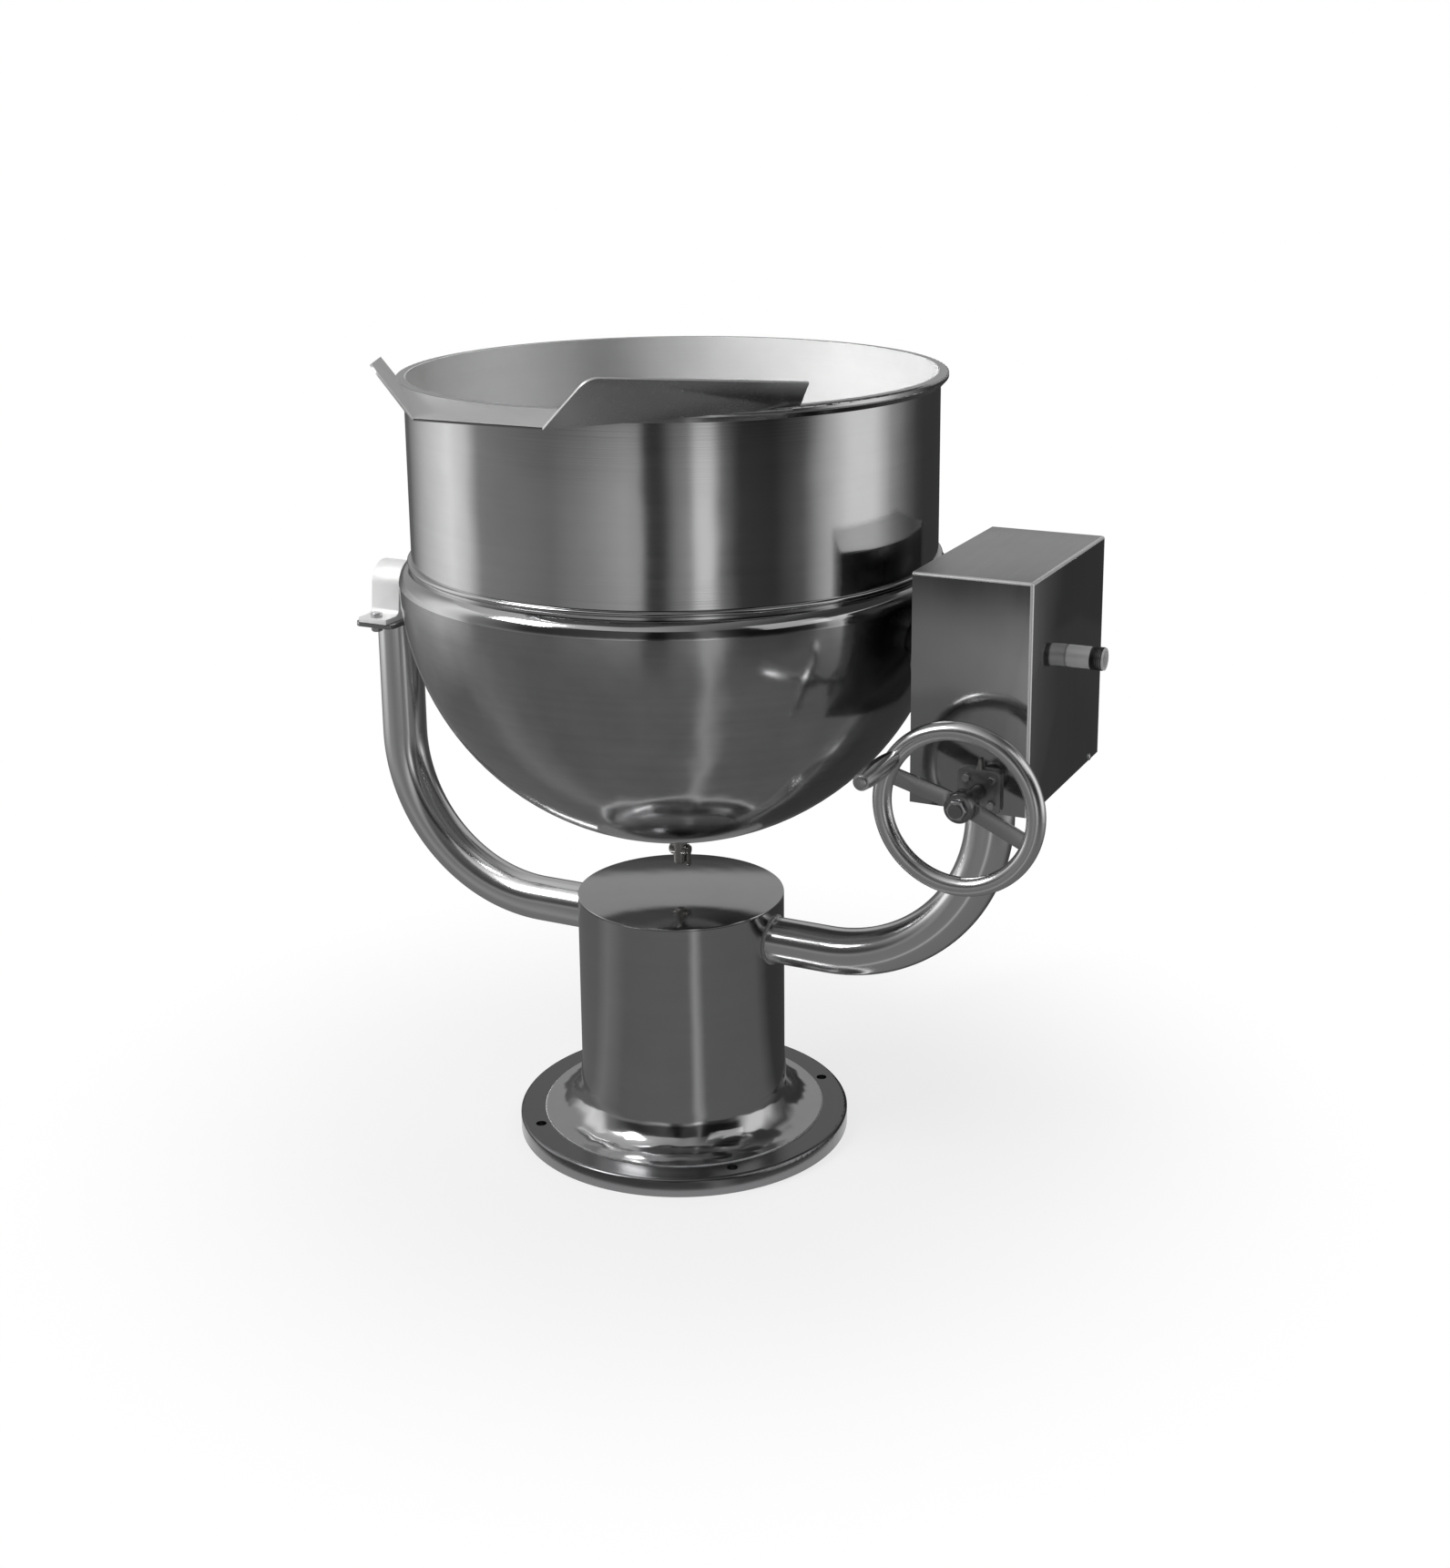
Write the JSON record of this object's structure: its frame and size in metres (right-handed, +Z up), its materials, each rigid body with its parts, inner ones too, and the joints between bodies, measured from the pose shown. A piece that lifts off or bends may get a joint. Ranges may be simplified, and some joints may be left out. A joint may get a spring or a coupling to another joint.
{
  "type": "steam jacketed kettle",
  "caption": "Tilting steam jacketed kettle on a pedestal: hemispherical bowl with pouring lip, trunnion arms, and a hand-cranked worm drive in a side console.",
  "frame": {"origin": "on the floor, at the centre of the pedestal's base flange and its anchor bolt circle", "axes": "+Z up along the pedestal column, -Y towards the pouring lip, +X towards the drive console; the tilt axis is parallel to X"},
  "size_m": [1.0236, 0.8039, 1.0745],
  "materials": {
    "polished_stainless": "mirror-polished stainless steel",
    "brushed_stainless": "fine satin stainless steel",
    "satin_cast_stainless": "satin cast stainless steel",
    "steel_fasteners": "plain turned stainless steel",
    "bronze": "machined bronze"
  },
  "bodies": {
    "stand": {"base_flange": "brushed_stainless", "base_skirt": "polished_stainless", "pedestal_column": "polished_stainless", "column_top_cover": "polished_stainless", "left_arm": "polished_stainless", "right_arm": "polished_stainless", "left_bearing_plate": "brushed_stainless", "left_pillow_block": "satin_cast_stainless", "right_pillow_block": "satin_cast_stainless", "left_bearing_bush": "bronze", "right_bearing_bush": "bronze", "left_block_bolts": "steel_fasteners", "right_block_bolts": "steel_fasteners", "left_block_nuts": "steel_fasteners", "console_base_plate": "brushed_stainless", "console_cover": "polished_stainless", "console_back_plate": "brushed_stainless", "cover_screws": "steel_fasteners", "bearing_portal": "satin_cast_stainless", "worm_front_bearing": "polished_stainless", "front_bearing_bolts": "steel_fasteners", "grease_nipple": "bronze", "worm_rear_bearing": "satin_cast_stainless", "steam_union": "brushed_stainless", "steam_inlet_nipple": "polished_stainless"},
    "kettle": {"bowl": "polished_stainless", "rim_ring": "polished_stainless", "pouring_lip": "polished_stainless", "steam_jacket": "polished_stainless", "jacket_closure_ring": "polished_stainless", "left_trunnion_pad": "polished_stainless", "right_trunnion_pad": "polished_stainless", "left_trunnion": "brushed_stainless", "right_trunnion": "brushed_stainless", "siphon_tube": "brushed_stainless", "siphon_clip": "brushed_stainless", "drain_nipple": "bronze", "drain_cock_body": "bronze", "worm_wheel_sector": "bronze", "worm_wheel_key": "brushed_stainless"},
    "handwheel": {"worm_shaft": "brushed_stainless", "thrust_collars": "brushed_stainless", "handwheel_rim": "polished_stainless", "handwheel_spokes": "polished_stainless", "handwheel_hub": "polished_stainless", "hub_key": "brushed_stainless", "hub_nut": "steel_fasteners", "handle_spindle": "polished_stainless"},
    "handle": {"handle_grip": "polished_stainless"},
    "drain_lever": {"drain_cock_plug": "polished_stainless"}
  },
  "joints": [
    {"name": "kettle_tilt", "type": "hinge", "parent": "stand", "child": "kettle", "pos_m": [0, 0, 0.708], "axis": [1, 0, 0], "range_deg": [0, 90]},
    {"name": "handwheel_turn", "type": "hinge", "parent": "stand", "child": "handwheel", "pos_m": [0.463, -0.2, 0.576], "axis": [0, 1, 0], "range_deg": [-5310, 0]},
    {"name": "handle_spin", "type": "hinge", "parent": "handwheel", "child": "handle", "pos_m": [0.38805, -0.27, 0.62848], "axis": [0, 1, 0], "continuous": true},
    {"name": "drain_cock_turn", "type": "hinge", "parent": "kettle", "child": "drain_lever", "pos_m": [0, 0, 0.386], "axis": [1, 0, 0], "range_deg": [0, 90]}
  ],
  "couplings": [
    {"joint": "handwheel_turn", "follows": "kettle_tilt", "ratio": -59}
  ]
}
